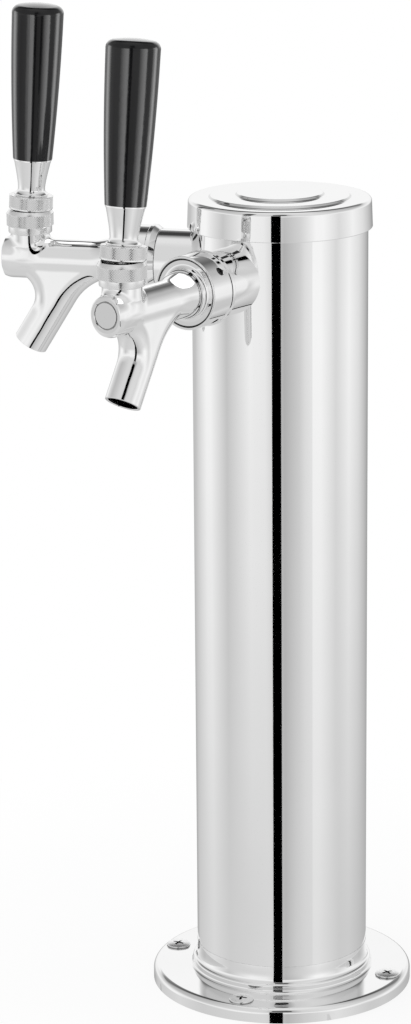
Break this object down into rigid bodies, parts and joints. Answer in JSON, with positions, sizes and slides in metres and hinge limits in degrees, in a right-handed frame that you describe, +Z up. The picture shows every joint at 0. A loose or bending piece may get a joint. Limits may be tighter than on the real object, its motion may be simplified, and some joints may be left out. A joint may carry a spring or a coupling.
{
  "type": "beer tower dispenser",
  "caption": "Polished steel column tower with lever taps turned to either side of the front, black handles, a push-on cap and a round screw-down flange.",
  "frame": {"origin": "centre of the flange's underside, on the column's axis, at counter height", "axes": "+Z up the column; -Y forward, half way between the taps, which stand 34 degrees to either side; +X towards the right-hand tap of someone facing +Y"},
  "size_m": [0.1506, 0.1647, 0.4381],
  "materials": {
    "polished_steel": "mirror polished stainless steel",
    "satin_steel": "satin, fine diamond knurl",
    "plain_steel": "plain turned stainless steel",
    "handle_plastic": "gloss black moulding",
    "insert_brass": "plain turned brass",
    "seal_rubber": "moulded black rubber",
    "washer_plastic": "white nylon",
    "foam": "closed-cell insulation foam"
  },
  "bodies": {
    "tower": {"base_flange": "polished_steel", "base_gasket": "seal_rubber", "flange_screws": "polished_steel", "column_tube": "polished_steel", "insulation_sleeve": "foam", "left_shank_sleeve": "polished_steel", "left_shank": "plain_steel", "left_saddle_washer": "washer_plastic", "left_shank_nut": "plain_steel", "left_elbow_washer": "seal_rubber", "left_elbow_nut": "plain_steel", "left_hose_tail": "plain_steel", "left_coupling_nut": "polished_steel", "left_coupling_washer": "washer_plastic", "left_faucet_body": "polished_steel", "left_nose_plug": "polished_steel", "left_ball_washer": "washer_plastic", "left_friction_washer": "washer_plastic", "left_bonnet": "satin_steel", "right_shank_sleeve": "polished_steel", "right_shank": "plain_steel", "right_saddle_washer": "washer_plastic", "right_shank_nut": "plain_steel", "right_elbow_washer": "seal_rubber", "right_elbow_nut": "plain_steel", "right_hose_tail": "plain_steel", "right_coupling_nut": "polished_steel", "right_coupling_washer": "washer_plastic", "right_faucet_body": "polished_steel", "right_nose_plug": "polished_steel", "right_ball_washer": "washer_plastic", "right_friction_washer": "washer_plastic", "right_bonnet": "satin_steel"},
    "cap": {"top_cap": "polished_steel"},
    "left_lever": {"left_lever": "polished_steel", "left_lever_collar": "satin_steel", "left_ferrule": "polished_steel", "left_knob": "handle_plastic", "left_knob_insert": "insert_brass"},
    "left_shaft": {"left_shaft": "plain_steel", "left_shaft_seat": "seal_rubber", "left_shaft_nut": "plain_steel"},
    "right_lever": {"right_lever": "polished_steel", "right_lever_collar": "satin_steel", "right_ferrule": "polished_steel", "right_knob": "handle_plastic", "right_knob_insert": "insert_brass"},
    "right_shaft": {"right_shaft": "plain_steel", "right_shaft_seat": "seal_rubber", "right_shaft_nut": "plain_steel"}
  },
  "joints": [
    {"name": "cap_lift", "type": "slide", "parent": "tower", "child": "cap", "axis": [0, 0, 1], "range_m": [0, 0.04]},
    {"name": "left_lever_hinge", "type": "hinge", "parent": "tower", "child": "left_lever", "pos_m": [-0.06274, -0.09302, 0.34125], "axis": [0.829, -0.5592, 0], "range_deg": [0, 38]},
    {"name": "left_shaft_slide", "type": "slide", "parent": "tower", "child": "left_shaft", "axis": [0.5592, 0.829, 0], "range_m": [0, 0.009]},
    {"name": "right_lever_hinge", "type": "hinge", "parent": "tower", "child": "right_lever", "pos_m": [0.06274, -0.09302, 0.34125], "axis": [0.829, 0.5592, 0], "range_deg": [0, 38]},
    {"name": "right_shaft_slide", "type": "slide", "parent": "tower", "child": "right_shaft", "axis": [-0.5592, 0.829, 0], "range_m": [0, 0.009]}
  ],
  "couplings": [
    {"joint": "left_shaft_slide", "follows": "left_lever_hinge", "m_per_rad": 0.01331},
    {"joint": "right_shaft_slide", "follows": "right_lever_hinge", "m_per_rad": 0.01331}
  ]
}
